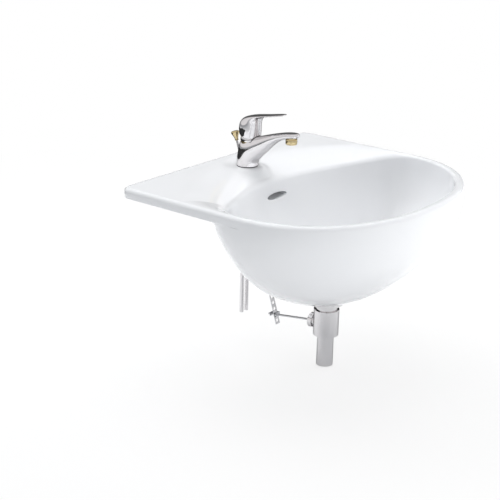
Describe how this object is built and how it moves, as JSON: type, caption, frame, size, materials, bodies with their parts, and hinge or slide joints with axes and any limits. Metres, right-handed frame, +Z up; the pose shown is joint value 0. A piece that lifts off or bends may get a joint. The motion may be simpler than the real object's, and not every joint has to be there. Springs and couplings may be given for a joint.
{
  "type": "semi recessed basin",
  "caption": "Semi recessed ceramic basin with a single lever mixer tap and a pop-up waste worked by a lift knob",
  "frame": {"origin": "on the seating face, in the middle of the ledge along the rear edge that rests on the worktop", "axes": "+X to the right of somebody who stands at the basin, +Y towards the wall, +Z up"},
  "size_m": [0.56, 0.489, 0.4751],
  "materials": {
    "ceramic": "glossy white glaze",
    "chrome": "polished",
    "gold": "polished gold colour",
    "steel": "plain",
    "raw_brass": "machined",
    "white_plastic": "moulded",
    "rubber": "matt black"
  },
  "bodies": {
    "basin": {"basin_body": "ceramic", "tap_body": "chrome", "tap_base_seal": "rubber", "fixing_stud": "steel", "fixing_gasket": "rubber", "fixing_plate": "steel", "fixing_nut": "raw_brass", "hot_pipe": "chrome", "cold_pipe": "chrome", "aerator_housing": "gold", "aerator_insert": "white_plastic", "aerator_washer": "rubber", "cartridge_seal": "rubber", "cartridge_housing": "white_plastic", "cartridge_nut": "raw_brass", "dome_cover": "chrome", "waste_flange": "chrome", "flange_seal": "rubber", "tapered_washer": "rubber", "slip_washer": "steel", "backnut": "chrome", "waste_tee": "chrome", "tee_seal": "rubber", "tailpiece": "chrome", "tail_seal": "rubber", "ball_seat_inner": "white_plastic", "ball_seat_outer": "white_plastic", "pivot_nut": "chrome"},
    "swivel": {"cartridge_carrier": "white_plastic", "stem_pin": "steel"},
    "lever": {"lever_handle": "chrome", "handle_screw": "steel", "screw_cover": "chrome", "cartridge_stem": "raw_brass"},
    "lift": {"lift_knob": "gold", "lift_rod": "steel", "rod_clamp": "raw_brass", "clamp_screw": "chrome", "link_strap": "steel"},
    "pivot": {"pivot_rod": "steel", "pivot_ball": "white_plastic", "spring_clip": "steel"},
    "plug": {"plug_head": "chrome", "plug_seal": "rubber", "plug_stem": "raw_brass"}
  },
  "joints": [
    {"name": "temperature_swivel", "type": "hinge", "parent": "basin", "child": "swivel", "pos_m": [0, -0.0612, 0.068], "axis": [0, 0, 1], "range_deg": [-45, 45]},
    {"name": "lever_lift", "type": "hinge", "parent": "swivel", "child": "lever", "pos_m": [0, -0.0612, 0.068], "axis": [-1, 0, 0], "range_deg": [0, 22]},
    {"name": "lift_travel", "type": "slide", "parent": "basin", "child": "lift", "axis": [0, 0.309, 0.9511], "range_m": [0, 0.028]},
    {"name": "pivot_swing", "type": "hinge", "parent": "basin", "child": "pivot", "pos_m": [0, -0.229, -0.262], "axis": [1, 0, 0], "range_deg": [0, 15.5]},
    {"name": "plug_travel", "type": "slide", "parent": "basin", "child": "plug", "axis": [0, 0, 1], "range_m": [-0.00735, 0]}
  ],
  "couplings": [
    {"joint": "pivot_swing", "follows": "lift_travel", "rad_per_m": 9.656},
    {"joint": "plug_travel", "follows": "lift_travel", "ratio": -0.26236}
  ]
}
